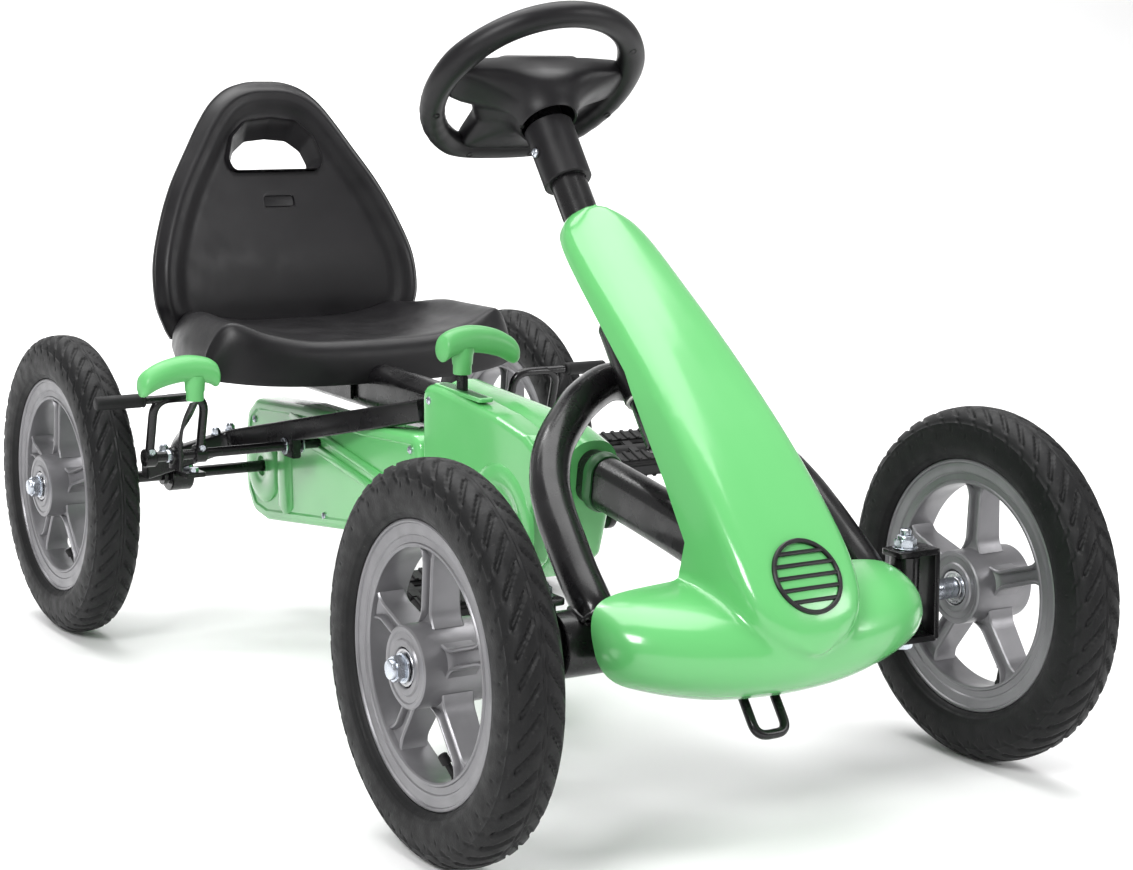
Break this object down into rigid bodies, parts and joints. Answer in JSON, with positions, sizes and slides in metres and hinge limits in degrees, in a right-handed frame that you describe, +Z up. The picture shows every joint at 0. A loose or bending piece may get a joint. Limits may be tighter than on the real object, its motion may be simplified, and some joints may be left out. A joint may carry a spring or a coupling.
{
  "type": "pedal go kart",
  "caption": "Ride-on pedal kart: bent tube frame, spoked wheels, steering wheel with tie rods, cranked pedals, chain drive, hand brake and sliding bucket seat.",
  "frame": {"origin": "on the ground, under the middle of the whole kart", "axes": "+Z up; the kart drives towards -Y; the driver's left is +X"},
  "size_m": [0.607, 1.101, 0.6405],
  "materials": {
    "green_shell": "gloss light green moulded plastic",
    "green_grip": "satin light green plastic",
    "black_paint": "semi-gloss black powder coat on steel",
    "black_plastic": "satin black moulded plastic",
    "rim_grey": "satin mid grey moulded plastic",
    "tyre": "matt black rubber",
    "rubber": "matt black rubber",
    "zinc": "bright zinc plate",
    "bearing_steel": "bare bearing steel",
    "chain_steel": "dark oiled steel",
    "nylon": "off-white nylon"
  },
  "bodies": {
    "frame": {"front_axle": "black_paint", "main_beam": "black_paint", "hoop": "black_paint", "column_sleeve": "black_paint", "column_bush": "nylon", "fairing": "green_shell", "crank_hanger": "black_paint", "drive_cover": "green_shell", "chain_case": "green_shell", "chain": "chain_steel", "rear_stay_r": "black_paint", "rear_stay_l": "black_paint", "bearing_block_r": "black_paint", "bearing_block_l": "black_paint"},
    "steering": {"steering_column": "black_paint", "steering_crank": "black_paint", "column_collar": "black_plastic", "steering_wheel": "black_plastic", "steering_pad": "black_plastic"},
    "knuckle_r": {"knuckle_r": "black_paint", "kingpin_r": "zinc", "stub_axle_r": "zinc"},
    "knuckle_l": {"knuckle_l": "black_paint", "kingpin_l": "zinc", "stub_axle_l": "zinc"},
    "tie_rod_r": {"tie_rod_r": "black_paint"},
    "tie_rod_l": {"tie_rod_l": "black_paint"},
    "wheel_fr": {"tyre_fr": "tyre", "rim_fr": "rim_grey", "wheel_bearings_fr": "bearing_steel"},
    "wheel_fl": {"tyre_fl": "tyre", "rim_fl": "rim_grey", "wheel_bearings_fl": "bearing_steel"},
    "wheel_rr": {"tyre_rr": "tyre", "rim_rr": "rim_grey", "wheel_bearings_rr": "bearing_steel"},
    "rear_axle": {"rear_axle": "zinc", "rear_nut_r": "zinc", "rear_nut_l": "zinc", "rear_sprocket": "chain_steel", "tyre_rl": "tyre", "rim_rl": "rim_grey", "wheel_bearings_rl": "bearing_steel"},
    "crank": {"crank": "black_paint", "chainring": "chain_steel"},
    "pedal_r": {"pedal_r": "black_plastic"},
    "pedal_l": {"pedal_l": "black_plastic"},
    "gear_lever": {"gear_lever": "black_paint", "gear_grip": "green_grip"},
    "brake": {"brake_shaft": "black_paint", "brake_arm_r": "black_paint", "brake_arm_l": "black_paint", "brake_sleeve_r": "rubber", "brake_sleeve_l": "rubber", "brake_lever": "black_paint", "brake_grip": "green_grip"},
    "seat": {"seat_back": "black_plastic", "seat_pan": "black_plastic", "seat_bracket": "black_paint"},
    "seat_knob": {"seat_knob": "black_plastic"}
  },
  "joints": [
    {"name": "steering_turn", "type": "hinge", "parent": "frame", "child": "steering", "pos_m": [0, -0.398, 0.1525], "axis": [0, 0.6058, 0.7956], "range_deg": [-30, 30]},
    {"name": "kingpin_r_turn", "type": "hinge", "parent": "frame", "child": "knuckle_r", "pos_m": [-0.178, -0.398, 0.1525], "axis": [0, 0, 1], "range_deg": [-25, 25]},
    {"name": "kingpin_l_turn", "type": "hinge", "parent": "frame", "child": "knuckle_l", "pos_m": [0.178, -0.398, 0.1525], "axis": [0, 0, 1], "range_deg": [-25, 25]},
    {"name": "tie_rod_r_turn", "type": "hinge", "parent": "knuckle_r", "child": "tie_rod_r", "pos_m": [-0.178, -0.345, 0.1245], "axis": [0, 0, 1], "range_deg": [-25, 25]},
    {"name": "tie_rod_l_turn", "type": "hinge", "parent": "knuckle_l", "child": "tie_rod_l", "pos_m": [0.178, -0.345, 0.1245], "axis": [0, 0, 1], "range_deg": [-25, 25]},
    {"name": "wheel_fr_spin", "type": "hinge", "parent": "knuckle_r", "child": "wheel_fr", "pos_m": [-0.263, -0.398, 0.1525], "axis": [1, 0, 0], "continuous": true},
    {"name": "wheel_fl_spin", "type": "hinge", "parent": "knuckle_l", "child": "wheel_fl", "pos_m": [0.263, -0.398, 0.1525], "axis": [1, 0, 0], "continuous": true},
    {"name": "wheel_rr_spin", "type": "hinge", "parent": "frame", "child": "wheel_rr", "pos_m": [-0.263, 0.398, 0.1525], "axis": [1, 0, 0], "continuous": true},
    {"name": "rear_axle_spin", "type": "hinge", "parent": "frame", "child": "rear_axle", "pos_m": [0, 0.398, 0.1525], "axis": [1, 0, 0], "continuous": true},
    {"name": "crank_spin", "type": "hinge", "parent": "frame", "child": "crank", "pos_m": [0, -0.11, 0.182], "axis": [1, 0, 0], "continuous": true},
    {"name": "pedal_r_spin", "type": "hinge", "parent": "crank", "child": "pedal_r", "pos_m": [-0.14, -0.18704, 0.14608], "axis": [1, 0, 0], "continuous": true},
    {"name": "pedal_l_spin", "type": "hinge", "parent": "crank", "child": "pedal_l", "pos_m": [0.14, -0.03296, 0.21792], "axis": [1, 0, 0], "continuous": true},
    {"name": "gear_lever_shift", "type": "hinge", "parent": "frame", "child": "gear_lever", "pos_m": [-0.035, -0.02, 0.228], "axis": [1, 0, 0], "range_deg": [-12, 12]},
    {"name": "brake_pull", "type": "hinge", "parent": "frame", "child": "brake", "pos_m": [0, 0.262, 0.198], "axis": [-1, 0, 0], "range_deg": [0, 28]},
    {"name": "seat_adjust", "type": "slide", "parent": "frame", "child": "seat", "axis": [0, 1, 0], "range_m": [-0.04, 0.04]},
    {"name": "seat_knob_turn", "type": "hinge", "parent": "seat", "child": "seat_knob", "pos_m": [0.028, 0.262, 0.262], "axis": [1, 0, 0], "range_deg": [0, 180]}
  ],
  "couplings": [
    {"joint": "kingpin_r_turn", "follows": "steering_turn", "ratio": 0.8333},
    {"joint": "kingpin_l_turn", "follows": "steering_turn", "ratio": 0.8333},
    {"joint": "tie_rod_r_turn", "follows": "steering_turn", "ratio": -0.8333},
    {"joint": "tie_rod_l_turn", "follows": "steering_turn", "ratio": -0.8333},
    {"joint": "crank_spin", "follows": "rear_axle_spin", "ratio": 0.75}
  ]
}
